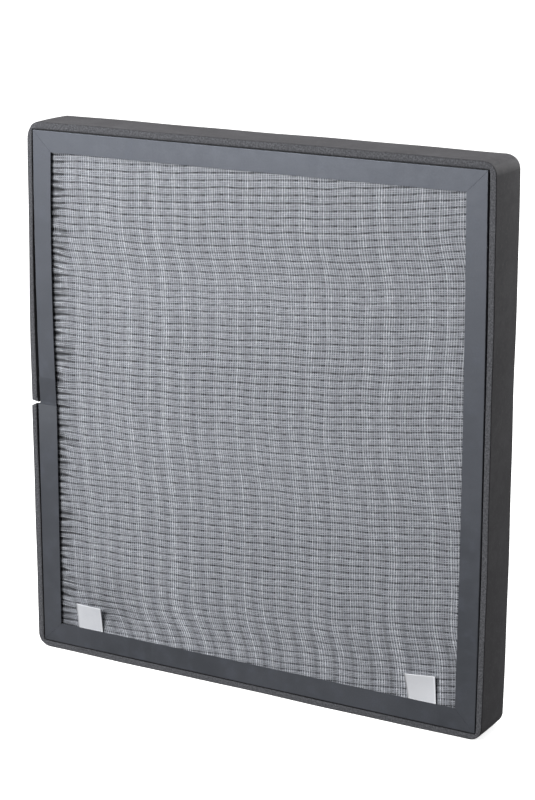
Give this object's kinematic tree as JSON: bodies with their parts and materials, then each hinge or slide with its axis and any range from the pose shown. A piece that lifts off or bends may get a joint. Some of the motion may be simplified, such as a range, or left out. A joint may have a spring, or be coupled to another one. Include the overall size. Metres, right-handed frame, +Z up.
{
  "type": "fume extractor filter panel",
  "caption": "Flat framed filter panel: horizontal pleats under a woven net, a folded grey sheet frame, a foam edge seal with a notched joint, and ribbon pull tabs.",
  "frame": {"origin": "middle of the foam seal's lower face, on which the panel stands", "axes": "+X to the right seen from the net side, +Y from the net side to the clean side, +Z up"},
  "size_m": [0.3608, 0.0392, 0.39],
  "materials": {
    "frame_sheet": "satin",
    "seal_foam": "matte",
    "tape": "satin",
    "hot_melt": "gloss",
    "sealant": "satin",
    "filter_medium": "matte",
    "net_fabric": "satin",
    "grid_plastic": "satin",
    "ribbon": "satin"
  },
  "bodies": {
    "panel": {"frame_strip": "frame_sheet", "foam_seal": "seal_foam", "seal_tape": "tape", "lap_glue": "hot_melt", "pleated_medium": "filter_medium", "spacer_beads": "hot_melt", "front_net": "net_fabric", "net_glue": "hot_melt", "rear_grid": "grid_plastic", "grid_glue": "hot_melt", "potting_left": "sealant", "potting_right": "sealant", "end_glue_bottom": "sealant", "end_glue_top": "sealant", "corner_sealant": "sealant", "tab_left_foot": "ribbon", "tab_left_pad": "tape", "tab_right_foot": "ribbon", "tab_right_pad": "tape"},
    "tab_left": {"tab_left_leaf": "ribbon"},
    "tab_right": {"tab_right_leaf": "ribbon"}
  },
  "joints": [
    {"name": "tab_left_bend", "type": "hinge", "parent": "panel", "child": "tab_left", "pos_m": [-0.134, -0.0171, 0.0204], "axis": [1, 0, 0], "range_deg": [-15, 150], "stiffness_Nm_per_rad": 0.0002},
    {"name": "tab_right_bend", "type": "hinge", "parent": "panel", "child": "tab_right", "pos_m": [0.1346, -0.0171, 0.0204], "axis": [1, 0, 0], "range_deg": [-4, 155], "stiffness_Nm_per_rad": 0.0002}
  ]
}
